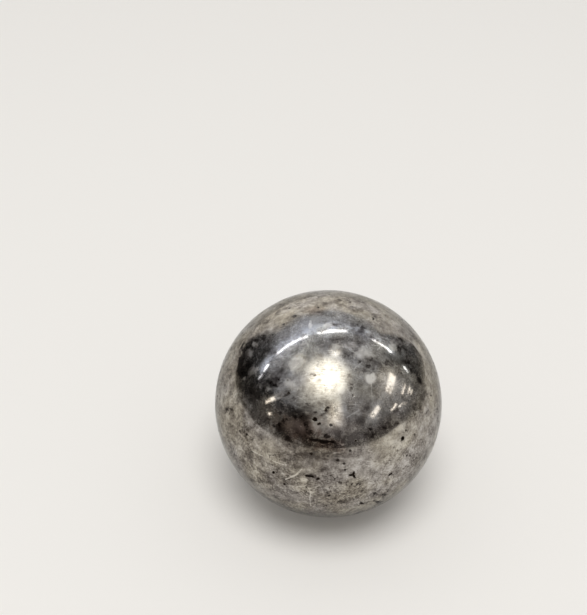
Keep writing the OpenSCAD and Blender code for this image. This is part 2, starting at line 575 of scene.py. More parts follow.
    # The first four are one long scratch, which is widest in its middle and fades at its top.
    scratches: tuple[Scratch, ...] = (
        Scratch(((-111, 1), (-108.3, 3.6)), 0.42),
        Scratch(((-108.3, 3.6), (-105.7, 6), (-104.6, 7.8)), 0.58),
        Scratch(((-104.6, 7.8), (-103.4, 9.8)), 0.42, 0.6),
        Scratch(((-103.4, 9.8), (-102.6, 12), (-102, 15)), 0.36, 0.2),
        Scratch(((-100, -2.5), (-94.5, 1.5)), 0.22),
        Scratch(((-100, -1), (-98, -5)), 0.22),
        Scratch(((-98.5, -3.5), (-99, -9), (-98.5, -17)), 0.34),
        Scratch(((-118.5, 9.5), (-113.5, 9.5), (-110.5, 10.2)), 0.2),
        Scratch(((-130, 9), (-124, 9.5)), 0.26),
        Scratch(((-132, 0.5), (-129.5, -3.5))),
        Scratch(((-130.5, -5), (-127.5, -8))),
        Scratch(((-77, 5), (-70, 0.5)), 0.22),
        Scratch(((-71.5, 58.5), (-61.5, 60.5)), 0.22),
        Scratch(((-61, 50), (-63.5, 44.5)), 0.22),
        Scratch(((-81.5, 37), (-74, 39.5)), 0.26),
        Scratch(((-95, 24), (-83.5, 24)), 0.22),
        Scratch(((-105.5, -2), (-101, 0)), 0.22),
    )
    scratch_depth_mm: float = 0.012
    scattered_count: int = 90
    scattered_width_mm: tuple[float, float] = (1.6, 5.0)
    scattered_height_mm: tuple[float, float] = (1.0, 2.8)
    scattered_strength: tuple[float, float] = (0.4, 0.9)
    # The scattered marks keep this far from the middle of the placed ones.
    front: Place = (-94, 36)
    clear_of_front_deg: float = 82
    seed: int = 5

    def marks(self) -> list[tuple[Stain, Mark]]:
        """Lists the placed marks, and scattered ones wherever no mark is placed.

        Returns:
            Each mark, after what it does to the steel.
        """
        placed = {
            Stain.OXIDE: self.oxide, Stain.FILM: self.film, Stain.BRIGHT: self.bright,
            Stain.BLOOM: self.bloom, Stain.RUST: self.rust, Stain.HANDLED: self.handled,
        }
        found = [(stain, mark) for stain, marks in placed.items() for mark in marks]
        return found + self._scattered()

    def _scattered(self) -> list[tuple[Stain, Mark]]:
        """Scatters marks over the sphere, away from the placed ones at the front.

        Returns:
            Each scattered mark, after what it does to the steel.
        """
        draw = random.Random(self.seed)
        front = outward(*self.front)
        kinds = (Stain.OXIDE, Stain.FILM, Stain.BLOOM, Stain.BRIGHT)
        found = []
        while len(found) < self.scattered_count:
            azimuth = draw.uniform(-180, 180)
            elevation = math.degrees(math.asin(draw.uniform(-1, 1)))
            stain = draw.choice(kinds)
            mark = Mark(
                azimuth, elevation,
                draw.uniform(*self.scattered_width_mm), draw.uniform(*self.scattered_height_mm),
                draw.uniform(-90, 90), draw.uniform(*self.scattered_strength),
            )
            if math.degrees(mark.direction.angle(front)) > self.clear_of_front_deg:
                found.append((stain, mark))
        return found


@dataclass(frozen=True)
class Texture:
    """A cloudy texture: the size of its clouds, how many finer layers it has and how strong."""

    size_mm: float
    detail: float
    roughness: float


@dataclass(frozen=True)
class Specks:
    """Specks of oxide: how far apart they are, and how wide in spacings.

    Each has a width of its own, and start is added to it. Growth is added in a full oxide mark.
    """

    spacing_mm: float
    start: float
    growth: float


class FadeShape(Enum):
    """How a fade runs from its start to its end."""

    STRAIGHT = "LINEAR"
    SMOOTH = "SMOOTHSTEP"


@dataclass(frozen=True)
class Fade:
    """How a part follows a value: it goes from start to end as the value goes from low to high."""

    low: float = 0.0
    high: float = 1.0
    start: float = 0.0
    end: float = 1.0

    @property
    def inputs(self) -> dict[str, float]:
        """The fade, as a node's inputs."""
        ends = {"To Min": self.start, "To Max": self.end}
        return {"From Min": self.low, "From Max": self.high, **ends}


@dataclass(frozen=True)
class Part:
    """A part of the steel's look, made from other parts.

    It is a start plus each other part times its weight, and a weight may be a part as well.
    A fade may follow that sum.
    """

    weights: tuple[tuple[str, float | str], ...]
    start: float = 0.0
    fade: Fade | None = None
    shape: FadeShape = FadeShape.SMOOTH

    def add_to(self, tree: bpy.types.NodeTree, parts: Parts) -> bpy.types.NodeSocket:
        """Adds the part to a material.

        Args:
            tree: The material's tree.
            parts: The parts that it already has, by name.

        Returns:
            The new part.
        """
        total: Any = self.start
        for name, weight in self.weights:
            total = add_node(
                tree, "ShaderNodeMath", {0: parts[name], 1: parts.get(weight, weight), 2: total},
                operation="MULTIPLY_ADD",
            )
        if self.fade is None:
            return total
        return add_node(
            tree, "ShaderNodeMapRange", {"Value": total, **self.fade.inputs},
            interpolation_type=self.shape.value,
        )


@dataclass(frozen=True)
class GroundSteel:
    """Through-hardened bearing steel, ground and lapped, then dulled by damp air and handling.

    The lapped surface still mirrors what is round it. A thin grey-brown film lies over most
    of it, in soft clouds, and tints the mirror. Where it is thick it is black oxide, in
    patches, specks and fine cracks. Etched grains and dry residue scatter the light into a
    haze, and rubbing has left paler hairlines.
    """

    # The steel's colour at a few thicknesses of the film, whose tint drifts from khaki to lilac.
    film_stops: tuple[tuple[float, str], ...] = (
        (0.0, "#CBC7C0"), (0.2, "#A49F97"), (0.34, "#827C75"), (0.5, "#534D48"),
        (0.72, "#2E2926"), (1.0, "#1A1614"),
    )
    khaki_colour: str = "#FBF9F3"
    lilac_colour: str = "#F5F5F9"
    tint_drift: Fade = Fade(low=0.4, high=0.6)
    rust_colour: str = "#CDA48C"
    residue_colour: str = "#8F8B85"
    oxide_colour: str = "#221A13"
    edge_colour: str = "#D8D8D8"

    tint: Texture = Texture(8.0, 2.0, 0.5)
    clouds: Texture = Texture(5.0, 4.0, 0.6)
    patches: Texture = Texture(1.9, 4.0, 0.58)
    mottles: Texture = Texture(1.1, 5.0, 0.68)
    blots: Texture = Texture(2.4, 4.0, 0.6)
    dull: Texture = Texture(2.8, 4.0, 0.6)
    veins: Texture = Texture(2.6, 1.5, 0.5)
    # Real grains are a few microns. At this size they show as fine mottling.
    grain: Texture = Texture(0.42, 2.0, 0.6)
    # Etched grains stay too small to show one by one, so that haze and polish mix in each.
    etched_grain: Texture = Texture(0.12, 1.0, 0.5)
    noise_middle: float = 0.5

    specks: Specks = Specks(1.2, -0.03, 0.14)
    fine_specks: Specks = Specks(0.6, -0.3, 0.42)
    speck_width: Fade = Fade(low=0.4, end=0.24)
    speck_darkness: Fade = Fade(start=0.3)
    speck_edge: float = 0.12

    crack_reach: float = 0.009
    crack_patches: Fade = Fade(low=0.5, high=0.6)

    # Real hairlines are a few microns wide. These come out about a tenth of a millimetre.
    hairline_mm: float = 0.9
    hairline_length_mm: float = 7.0
    hairline_reach: float = 0.02
    hairline_turns: tuple[tuple[float, float, float], ...] = (
        (0.3, 0.5, 0.2), (1.2, -0.4, 0.9), (0.7, 1.1, -0.6),
    )
    hairline_patches: Fade = Fade(low=0.46, high=0.62)

    relief_mm: float = 0.0012

    # The parts below are added in this order. The film's thickness is 0 on bare steel and 1 in
    # black oxide, and its rough half is weaker where hands have rubbed the grain smooth.
    kept_grain: Part = Part(
        weights=(("handled", 1.0),),
        fade=Fade(start=1.0, end=0.2),
        shape=FadeShape.STRAIGHT,
    )
    mottled: Part = Part(
        start=-0.15,
        weights=(("mottles", 1.0), ("clouds", 0.3), ("oxide", 0.3)),
        fade=Fade(low=0.6, high=0.8),
    )
    rough_film: Part = Part(
        start=-0.47,
        weights=(("grain", 0.9), ("specks", 0.7), ("cracks", 0.4), ("mottled", 0.2)),
    )
    blotchy: Part = Part(
        weights=(("mottles", 1.0),),
        fade=Fade(low=0.4, high=0.6, start=0.04, end=0.32),
        shape=FadeShape.STRAIGHT,
    )
    film_thickness: Part = Part(
        start=-0.54,
        weights=(
            ("clouds", 0.75), ("patches", 0.8), ("rough_film", "kept_grain"), ("mottled", 0.3),
            ("hairlines", -0.16), ("film", 0.2), ("oxide", "blotchy"), ("fine_specks", 0.5),
            ("bright", -0.15), ("scratch", -0.42),
        ),
    )
    # Pale, matt residue, which isn't metal.
    residue: Part = Part(
        start=-0.55,
        weights=(
            ("blots", 1.0), ("grain", 0.6), ("mottles", 0.5), ("bloom", 0.45), ("oxide", -0.3),
        ),
        fade=Fade(low=0.5, high=1.15, end=0.8),
    )
    metallic: Part = Part(start=1.0, weights=(("residue", -0.45),))
    # Haze mixes the polish's roughness with that of etched grains, and has more of these where
    # it is dull. Thick film and pits are rougher still.
    haze: Part = Part(
        start=0.19,
        weights=(
            ("dull", 0.5), ("residue", 1.0), ("bloom", 0.2), ("bright", -0.1), ("film", -0.08),
            ("etched_grain", -1.0),
        ),
        fade=Fade(low=-0.04, high=0.04, start=0.09, end=0.38),
    )
    thick_film: Part = Part(
        weights=(("film_thickness", 1.0),),
        fade=Fade(low=0.5, end=0.3),
        shape=FadeShape.STRAIGHT,
    )
    roughness: Part = Part(weights=(("haze", 1.0), ("thick_film", 1.0), (PIT_MASK, 0.6)))

    def material(self) -> bpy.types.Material:
        """Builds the steel's material.

        Returns:
            The material.
        """
        made = bpy.data.materials.new("ground_steel")
        tree = cleared_tree(made)
        parts = self._sources(tree)
        parts["cracks"] = self._cracks(tree, parts)
        parts["hairlines"] = self._hairlines(tree, parts)
        parts["specks"] = self._specks(tree, parts, self.specks)
        parts["fine_specks"] = self._specks(tree, parts, self.fine_specks)
        for name, part in vars(self).items():
            if isinstance(part, Part):
                parts[name] = part.add_to(tree, parts)
        relief = add_node(
            tree, "ShaderNodeBump",
            {
                "Height": parts["patches"], "Distance": self.relief_mm * MM,
                "Strength": parts["kept_grain"],
            },
        )
        shader = add_node(
            tree, "ShaderNodeBsdfPrincipled",
            {
                "Base Color": self._colour(tree, parts),
                "Metallic": parts["metallic"],
                "Roughness": parts["roughness"],
                "Specular Tint": linear_colour(self.edge_colour),
                "Normal": relief,
            },
        )
        add_node(tree, "ShaderNodeOutputMaterial", {"Surface": shader})
        return made

    def _sources(self, tree: bpy.types.NodeTree) -> Parts:
        """Adds what the other parts are made from.

        Args:
            tree: The material's tree.

        Returns:
            The place on the ball, the cloudy textures and the mesh's layers, by name.
        """
        place = add_node(tree, "ShaderNodeTexCoord", out="Object")
        parts = {"place": place}
        for name, texture in vars(self).items():
            if isinstance(texture, Texture):
                parts[name] = add_node(
                    tree, "ShaderNodeTexNoise",
                    {
                        "Vector": place, "Scale": 1 / (texture.size_mm * MM),
                        "Detail": texture.detail, "Roughness": texture.roughness,
                    },
                )
        for name in (*(stain.value for stain in Stain), PIT_MASK):
            parts[name] = add_node(tree, "ShaderNodeAttribute", out="Fac", attribute_name=name)
        return parts

    def _specks(
        self, tree: bpy.types.NodeTree, parts: Parts, specks: Specks
    ) -> bpy.types.NodeSocket:
        """Scatters specks of oxide, some black and some only grey.

        Args:
            tree: The material's tree.
            parts: The parts by name.
            specks: How far apart and how wide the specks are.

        Returns:
            How dark the specks are, from 0 to 1.
        """
        cell = add_node(
            tree, "ShaderNodeTexVoronoi",
            {"Vector": parts["place"], "Scale": 1 / (specks.spacing_mm * MM)},
        ).node.outputs
        draw = add_node(tree, "ShaderNodeSeparateColor", {"Color": cell["Color"]}).node.outputs
        width = add_node(
            tree, "ShaderNodeMapRange", {"Value": draw["Red"], **self.speck_width.inputs}
        )
        darkness = add_node(
            tree, "ShaderNodeMapRange", {"Value": draw["Green"], **self.speck_darkness.inputs}
        )
        inside = Part(
            start=specks.start,
            weights=(("width", 1.0), ("oxide", specks.growth), ("distance", -1.0)),
        )
        known = {**parts, "width": width, "distance": cell["Distance"]}
        return add_node(
            tree, "ShaderNodeMapRange",
            {
                "Value": inside.add_to(tree, known), "From Max": self.speck_edge,
                "To Max": darkness,
            },
            interpolation_type=FadeShape.SMOOTH.value,
        )

    def _cracks(self, tree: bpy.types.NodeTree, parts: Parts) -> bpy.types.NodeSocket:
        """Draws fine dark lines where a texture passes its middle value, in patches.

        Args:
            tree: The material's tree.
            parts: The parts by name.

        Returns:
            How dark the cracks are, from 0 to 1.
        """
        line = add_node(
            tree, "ShaderNodeMath",
            {0: parts["veins"], 1: self.noise_middle, 2: self.crack_reach}, operation="COMPARE",
        )
        return add_node(
            tree, "ShaderNodeMapRange",
            {"Value": parts["blots"], **self.crack_patches.inputs, "To Max": line},
        )

    def _hairlines(self, tree: bpy.types.NodeTree, parts: Parts) -> bpy.types.NodeSocket:
        """Draws faint hairlines in three directions, in patches.

        Args:
            tree: The material's tree.
            parts: The parts by name.

        Returns:
            How clear the hairlines are, from 0 to 1.
        """
        across = 1 / (self.hairline_mm * MM)
        along = 1 / (self.hairline_length_mm * MM)
        found: Any = 0.0
        for turn in self.hairline_turns:
            drawn = add_node(
                tree, "ShaderNodeMapping",
                {"Vector": parts["place"], "Rotation": turn, "Scale": (along, across, across)},
            )
            level = add_node(
                tree, "ShaderNodeTexNoise", {"Vector": drawn, "Scale": 1.0, "Detail": 0.0}
            )
            line = add_node(
                tree, "ShaderNodeMath",
                {0: level, 1: self.noise_middle, 2: self.hairline_reach}, operation="COMPARE",
            )
            found = add_node(tree, "ShaderNodeMath", {0: line, 1: found}, operation="MAXIMUM")
        some = add_node(
            tree, "ShaderNodeMapRange", {"Value": parts["clouds"], **self.hairline_patches.inputs}
        )
        return add_node(tree, "ShaderNodeMath", {0: found, 1: some}, operation="MULTIPLY")

    def _colour(self, tree: bpy.types.NodeTree, parts: Parts) -> bpy.types.NodeSocket:
        """Colours the steel by how thick the film is: thin is bright, thick is dark and warm.

        Args:
            tree: The material's tree.
            parts: The parts by name.

        Returns:
            The colour.
        """
        film = add_node(tree, "ShaderNodeValToRGB", {"Fac": parts["film_thickness"]})
        stops = film.node.color_ramp.elements
        while len(stops) < len(self.film_stops):
            stops.new(0.5)
        for stop, (position, film_colour) in zip(stops, self.film_stops):
            stop.position = position
            stop.color = linear_colour(film_colour)
        drift = add_node(
            tree, "ShaderNodeMapRange", {"Value": parts["tint"], **self.tint_drift.inputs}
        )
        colour: Any = linear_colour(self.khaki_colour)
        for share, over, blend in (
            (drift, linear_colour(self.lilac_colour), "MIX"),
            (parts["rust"], linear_colour(self.rust_colour), "MULTIPLY"),
            (1.0, film, "MULTIPLY"),
            (parts["residue"], linear_colour(self.residue_colour), "SCREEN"),
            (parts[PIT_MASK], linear_colour(self.oxide_colour), "MIX"),
        ):
            colour = add_node(
                tree, "ShaderNodeMix", {0: share, 6: colour, 7: over}, 2,
                data_type="RGBA", blend_type=blend,
            )
        return colour


@dataclass
class PittedBall:
    """The ball itself: one sphere, true to a few microns, with rust pits, stains, scratches, and some
    painted highlights and painted shade.
    """

    radius: float
    pit_field: PitField = field(default_factory=PitField)
    wear_map: WearMap = field(default_factory=WearMap)
    finish: GroundSteel = field(default_factory=GroundSteel)
    lattice_levels: int = 7
    refine_reach_mm: tuple[float, ...] = (0.5, 0.2)
    small_mark_mm: float = 1.3
    wave_height_mm: float = 0.004
    wave_length_mm: float = 4.0
    ragged_share: float = 0.35
    ragged_mm: float = 0.25
    halo_mm: float = 0.09
    bake_columns: int = 3
    bake_rows: int = 2
    bake_filled: float = 0.94
    pits: list[Pit] = field(init=False)
    marks: list[tuple[Stain, Mark]] = field(init=False)

    def __post_init__(self) -> None:
        """Lists the pits and marks."""
        self.pits = self.pit_field.pits(self.radius)
        self.marks = self.wear_map.marks()

    def build(self) -> bpy.types.Object:
        """Makes the ball's mesh, dresses it and hands it to the frame.

        Returns:
            The ball.
        """
        mesh = bmesh.new()
        bmesh.ops.create_icosphere(mesh, subdivisions=self.lattice_levels, radius=self.radius)
        for reach in self.refine_reach_mm:
            self._refine(mesh, self._detail_spots(reach * MM))
        bmesh.ops.triangulate(mesh, faces=list(mesh.faces))
        self._stain(mesh)
        self._sink(mesh)
        self._map_for_bake(mesh)
        ball = add_mesh_object("steel_ball", mesh)
        ball.data.materials.append(self.finish.material())
        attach(ball, BODY)
        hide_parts(BALL_NODE)
        return ball

    def _detail_spots(self, margin: float) -> list[tuple[Vector, float]]:
        """Lists the spots that need a fine mesh.

        Args:
            margin: How far past a rim or an edge the fine mesh goes, in metres.

        Returns:
            The middle of each spot and how far it reaches.
        """
        spots = [
            (pit.direction * self.radius, pit.kind.width_mm * MM / 2 + margin)
            for pit in self.pits
        ]
        for _, mark in self.marks:
            if min(mark.width_mm, mark.height_mm) >= self.small_mark_mm:
                continue
            frame = place_frame(mark.azimuth, mark.elevation, mark.turn)
            for share in (-0.5, 0.0, 0.5):
                spread = share * (mark.width_mm - mark.height_mm) * MM
                middle = (frame @ Vector((self.radius, spread, 0))).normalized() * self.radius
                spots.append((middle, mark.height_mm * MM / 2 + margin))
        for scratch in self.wear_map.scratches:
            for point in scratch.spots(self.radius, margin):
                spots.append((point, scratch.width_mm * MM / 2 + margin))
        return spots

    def _refine(self, mesh: bmesh.types.BMesh, spots: list[tuple[Vector, float]]) -> None:
        """Halves the edges that lie in the spots and rounds them onto the ball.

        Args:
            mesh: The sphere.
            spots: Middles and reaches, in metres.
        """
        finder = kdtree.KDTree(len(mesh.edges))
        edges = list(mesh.edges)
        for number, edge in enumerate(edges):
            finder.insert((edge.verts[0].co + edge.verts[1].co) / 2, number)
        finder.balance()
        near = {number for spot, reach in spots for _, number, _ in finder.find_range(spot, reach)}
        bmesh.ops.subdivide_edges(
            mesh, edges=[edges[number] for number in sorted(near)], cuts=1, use_grid_fill=True
        )
        for vertex in mesh.verts:
            vertex.co = vertex.co.normalized() * self.radius

    @staticmethod
    def _vertex_finder(mesh: bmesh.types.BMesh) -> kdtree.KDTree:
        """Makes a finder for the mesh's vertices by place.

        Args:
            mesh: The sphere.

        Returns:
            The finder, with each vertex's number.
        """
        finder = kdtree.KDTree(len(mesh.verts))
        for number, vertex in enumerate(mesh.verts):
            finder.insert(vertex.co, number)
        finder.balance()
        return finder

    def _stain(self, mesh: bmesh.types.BMesh) -> None:
        """Writes how strong each stain, painted highlight and painted shade is at each vertex.

        Args:
            mesh: The smooth sphere, which gets a layer for each stain.
        """
        layers = {stain: mesh.verts.layers.float.new(stain.value) for stain in Stain}
        finder = self._vertex_finder(mesh)
        mesh.verts.ensure_lookup_table()
        for stain, mark in self.marks:
            layer = layers[stain]
            middle = mark.direction * self.radius
            for point, number, _ in finder.find_range(middle, mark.reach):
                vertex = mesh.verts[number]
                vertex[layer] = max(vertex[layer], mark.amount(point))
        layer = layers[Stain.SCRATCH]
        for scratch in self.wear_map.scratches:
            corners = scratch.points(self.radius)
            for spot in scratch.spots(self.radius, scratch.width_mm * MM):
                for point, number, _ in finder.find_range(spot, scratch.width_mm * MM):
                    vertex = mesh.verts[number]
                    vertex[layer] = max(vertex[layer], scratch.amount(point, corners))

    def _sink(self, mesh: bmesh.types.BMesh) -> None:
        """Sinks the pits, with ragged rims, the scratches and the faint waves of the grinding.

        Args:
            mesh: The sphere, which is changed. Its PIT_MASK is 1 in a pit and 0 outside.
        """
        mask = mesh.verts.layers.float.new(PIT_MASK)
        scratched = mesh.verts.layers.float[Stain.SCRATCH.value]
        finder = self._vertex_finder(mesh)
        mesh.verts.ensure_lookup_table()
        depths = [0.0] * len(mesh.verts)
        masks = [0.0] * len(mesh.verts)
        for pit in self.pits:
            width = pit.kind.width_mm * MM
            middle = pit.direction * self.radius
            for point, number, distance in finder.find_range(middle, width):
                ragged = noise.noise(point / (self.ragged_mm * MM))
                rim = width / 2 * (1 + self.ragged_share * ragged)
                bowl = (1 - (distance / rim) ** 2) * pit.kind.depth_mm * MM
                depths[number] = max(depths[number], bowl)
                past_rim = (distance - rim) / MM
                filled = pit.kind.darkness * (1 - smooth_step(0.0, self.halo_mm, past_rim))
                masks[number] = max(masks[number], filled)
        groove = self.wear_map.scratch_depth_mm * MM
        for number, vertex in enumerate(mesh.verts):
            wave = noise.noise(vertex.co / (self.wave_length_mm * MM))
            shallow = self.wave_height_mm * MM * (wave + 1) / 2 + groove * vertex[scratched]
            depth = max(shallow, depths[number])
            vertex[mask] = masks[number]
            vertex.co = vertex.co.normalized() * (self.radius - depth)

    def _map_for_bake(self, mesh: bmesh.types.BMesh) -> None:
        """Lays the surface out as the six faces of a cube, three across and two up.

        Args:
            mesh: The worn sphere, which gets the map.
        """
        layer = mesh.loops.layers.uv.new(BAKE_MAP)
        for face in mesh.faces:
            middle = face.calc_center_median()
            axis = max(range(3), key=lambda i: abs(middle[i]))
            sign = 1 if middle[axis] > 0 else -1
            across, up = (axis + 1) % 3, (axis + 2) % 3
            column, row = axis + 0.5, (sign + 1) // 2 + 0.5
            for loop in face.loops:
                point = loop.vert.co
                u = math.atan2(point[across], abs(point[axis])) / (math.pi / 2) * sign
                v = math.atan2(point[up], abs(point[axis])) / (math.pi / 2)
                loop[layer].uv = (
                    (column + u * self.bake_filled) / self.bake_columns,
                    (row + v * self.bake_filled) / self.bake_rows,
                )


@dataclass(frozen=True)
class Zone:
    """A part of the room that the ball mirrors, as a soft-edged patch of the dome round it.

    Azimuth turns from behind the ball (+Y) towards its right (+X).
    """

    azimuth: float
    azimuth_reach: float
    elevation: float
    elevation_reach: float
    softness: float
    colour: Light

    def share(self, azimuth: float, elevation: float) -> float:
        """Says how much of this zone shows in a direction.

        Args:
            azimuth: Degrees from +Y towards +X.
            elevation: Degrees above the horizon.

        Returns:
            The zone's share, from 0 to 1.
        """
        beside = abs((azimuth - self.azimuth + 180) % 360 - 180)
        climb = abs(elevation - self.elevation)
        share = 1.0
        for off, reach in ((beside, self.azimuth_reach), (climb, self.elevation_reach)):
            share *= 1 - smooth_step(reach - self.softness, reach + self.softness, off)
        return share


@dataclass(frozen=True)
class Glow:
    """A round soft light in the room, full within its core and gone at its reach, in degrees."""

    azimuth: float
    elevation: float
    core: float
    reach: float
    colour: Light

    def share(self, azimuth: float, elevation: float) -> float:
        """Says how much of this light shows in a direction.

        Args:
            azimuth: Degrees from +Y towards +X.
            elevation: Degrees above the horizon.

        Returns:
            The light's share, from 0 to 1.
        """
        towards = room_direction(azimuth, elevation)
        off = math.degrees(towards.angle(room_direction(self.azimuth, self.elevation)))
        return 1 - smooth_step(self.core, self.reach, off)


@dataclass(frozen=True)
class Panel:
    """A small flat lamp in the room, with its place, size and turn in degrees."""

    azimuth: float
    elevation: float
    width: float
    height: float
    turn: float
    brightness: float


@dataclass(frozen=True)
class FloorEnd:
    """A side where the mirrored floor ends early: how far below the horizon, at a few azimuths."""

    colour: Light
    drops: tuple[tuple[float, float], ...]

    def steps(self, step_deg: float) -> list[tuple[float, float]]:
        """Fills in the azimuths and drops between the ones given.

        Args:
            step_deg: The most that two azimuths next to each other may be apart.

        Returns:
            Each azimuth with its drop, in degrees.
        """
        found = [self.drops[0]]
        for (start, drop), (end, next_drop) in zip(self.drops, self.drops[1:]):
            count = math.ceil((end - start) / step_deg)
            for number in range(1, count + 1):
                share = number / count
                found.append((start + (end - start) * share, drop + (next_drop - drop) * share))
        return found


@dataclass
class Studio:
    """A pale floor, soft light from above, and the room that shows only in the steel."""

    floor_z: float
    floor_radius: float = 1.4
    floor_sides: int = 96
    floor_colour: str = "#F2EFEA"
    floor_roughness: float = 0.9
    key_place: tuple[float, float, float] = (0.0, -0.45, 1.5)
    key_size: float = 0.9
    key_energy: float = 13.5
    fill_strength: float = 0.5
    # The room is a dome of these many rings and columns, from just below the horizon up.
    room_radius: float = 1.3
    room_rings: int = 93
    room_columns: int = 240
    room_foot_deg: float = -2.0
    ceiling: Light = (0.46, 0.475, 0.51)
    # The walls, ceiling and floor round the ball. Each lies over those before it.
    zones: tuple[Zone, ...] = (
        Zone(-48, 58, 52, 17, 8, (0.49, 0.515, 0.565)),
        Zone(95, 55, 0, 33, 7, (0.28, 0.28, 0.28)),
        Zone(92, 50, 0, 12, 5, (0.26, 0.26, 0.26)),
        Zone(57, 15, 17, 22, 4, (0.095, 0.098, 0.105)),
        Zone(64, 8, 27, 6, 5, (0.18, 0.185, 0.19)),
        Zone(-107, 66, 0, 31, 5, (0.022, 0.021, 0.022)),
        Zone(-64, 18, 29, 7, 6, (0.13, 0.133, 0.14)),
        Zone(-100, 12, 9, 8, 6, (0.08, 0.076, 0.071)),
        Zone(-119, 13, 11, 9, 6, (0.15, 0.14, 0.13)),
        Zone(180, 32, 0, 28, 8, (0.22, 0.20, 0.20)),
        Zone(180, 34, 0, 12, 5, (0.12, 0.10, 0.09)),
        Zone(138, 24, 40, 14, 8, (0.45, 0.45, 0.455)),
        Zone(-136, 9, 13, 9, 6, (0.17, 0.157, 0.149)),
        Zone(-167, 9, 25, 8, 5, (0.46, 0.45, 0.46)),
        Zone(174, 7, 34, 12, 5, (1.75, 1.68, 1.57)),
        Zone(140, 36, 5, 9, 3, (0.13, 0.12, 0.12)),
        Zone(22, 22, 0, 32, 3, (0.88, 0.85, 0.80)),
        Zone(-13, 29, 0, 31, 3, (1.08, 1.04, 0.98)),
    )
    # To the left of the ball and to its right.
    floor_ends: tuple[FloorEnd, ...] = (
        FloorEnd(
            (0.16, 0.145, 0.13),
            ((-158, 1.3), (-146, 2.4), (-133, 2.8), (-106, 3.8), (-70, 4.2), (-62, 3.8), (-54, 1.3)),
        ),
        FloorEnd(
            (0.30, 0.285, 0.26),
            ((43, 1.3), (49, 5.5), (66, 5), (76, 7), (90, 7), (98, 4.5), (105, 2), (112, 1.3)),
        ),
    )
    floor_end_step_deg: float = 2.0
    # The band's top takes the room's colour from this far above the horizon.
    floor_end_top_deg: float = 1.0
    glows: tuple[Glow, ...] = (
        Glow(97, 34, 6, 16, (0.85, 0.83, 0.78)),
        Glow(54, 40, 3, 13, (0.62, 0.65, 0.69)),
        Glow(-92, 61, 1, 11, (0.95, 0.93, 0.89)),
        Glow(-166, 63, 6, 34, (1.15, 1.14, 1.11)),
        Glow(45, 84, 2, 7, (2.5, 2.5, 2.45)),
        Glow(-174, 69, 1, 26, (3.7, 3.7, 3.62)),
    )
    tube_height: float = 0.33
    tube_radius: float = 0.0066
    tube_sides: int = 12
    tube_colour: str = "#EEF4FF"
    tube_brightness: float = 9.0
    # Each ceiling tube's start and end, in ceiling heights to the right of the ball and behind it.
    tubes: tuple[tuple[float, float, float, float], ...] = (
        (-2.60, 0.14, -2.13, 0.16), (-1.88, 0.2, -1.5, 0.262), (-1.08, 0.362, -0.35, 0.433),
        (-0.18, 0.46, 0.25, 0.545), (0.75, 0.594, 1.42, 0.697), (2.6, 0.86, 3.6, 1.09),
    )
    # The line that they follow: how far behind the ball it runs, and its slope to the right.
    tube_run: tuple[float, float] = (0.56, 0.145)
    # The ceiling by the tubes: its colour, its reach before and behind them, and its two ends.
    wash_colour: Light = (0.95, 1.05, 1.25)
    wash_reach: tuple[float, float] = (0.10, 0.42)
    wash_ends: tuple[float, float] = (-2.15, 1.5)
    wash_end_fade: float = 0.4
    wash_lowest_deg: float = 5.0
    panel_radius: float = 1.2
    panel_colour: str = "#FFFAF0"
    panels: tuple[Panel, ...] = (
        Panel(96.7, 30, 17.8, 6.9, 8, 2.2),
        Panel(130, 23.4, 12.0, 4.6, 20, 2.0),
        Panel(-112.8, 22.5, 9.5, 3.2, 59, 2.8),
        Panel(-110, 17.6, 2.6, 2.2, 41, 6.5),
        Panel(-118.6, 11.5, 3.3, 1.6, 38, 8.0),
        Panel(90.4, 15.8, 9.1, 1.6, 2, 5.5),
        Panel(109.9, 15.1, 8.2, 1.6, 3, 5.0),
        Panel(86.4, 10.2, 5.9, 1.3, 1, 5.0),
        Panel(85.1, 7.0, 5.1, 1.1, -1, 3.5),
        Panel(101.9, 10.8, 6.4, 0.9, -13, 4.0),
        Panel(97.2, 7.7, 3.8, 0.7, -12, 3.0),
    )

    def build(self) -> None:
        """Makes the floor, the room and the lights."""
        self._floor()
        self._room()
        self._floor_ends()
        self._tubes()
        self._panels()
        self._key_light()
        self._world()

    def _floor(self) -> None:
        """Lays the pale floor that the ball stands on."""
        mesh = bmesh.new()
        bmesh.ops.create_circle(
            mesh, cap_ends=True, segments=self.floor_sides, radius=self.floor_radius
        )
        for vertex in mesh.verts:
            vertex.co.z = self.floor_z
        floor = add_mesh_object("floor", mesh)
        paint = bpy.data.materials.new("pale_floor")
        tree = cleared_tree(paint)
        shader = add_node(
            tree, "ShaderNodeBsdfPrincipled",
            {
                "Base Color": linear_colour(self.floor_colour),
                "Roughness": self.floor_roughness,
                "Specular IOR Level": 0.0,
            },
        )
        add_node(tree, "ShaderNodeOutputMaterial", {"Surface": shader})
        floor.data.materials.append(paint)

    def _room(self) -> None:
        """Hangs a dome round the ball that only mirrored rays see."""
        mesh = bmesh.new()
        glow = mesh.verts.layers.float_color.new(GLOW)
        rings = []
        for number in range(self.room_rings):
            climb = (90 - self.room_foot_deg) * number / (self.room_rings - 1)
            elevation = self.room_foot_deg + climb
            ring = []
            for column in range(self.room_columns):
                azimuth = 360 * column / self.room_columns
                vertex = mesh.verts.new(self.room_radius * room_direction(azimuth, elevation))
                vertex[glow] = (*self._brightness(azimuth, elevation), 1.0)
                ring.append(vertex)
            rings.append(ring)
        for low, high in zip(rings, rings[1:]):
            for column in range(self.room_columns):
                following = (column + 1) % self.room_columns
                mesh.faces.new((low[column], low[following], high[following], high[column]))
        self._show_only_in_steel(add_mesh_object("room", mesh), self._glowing_paint("room_glow"))

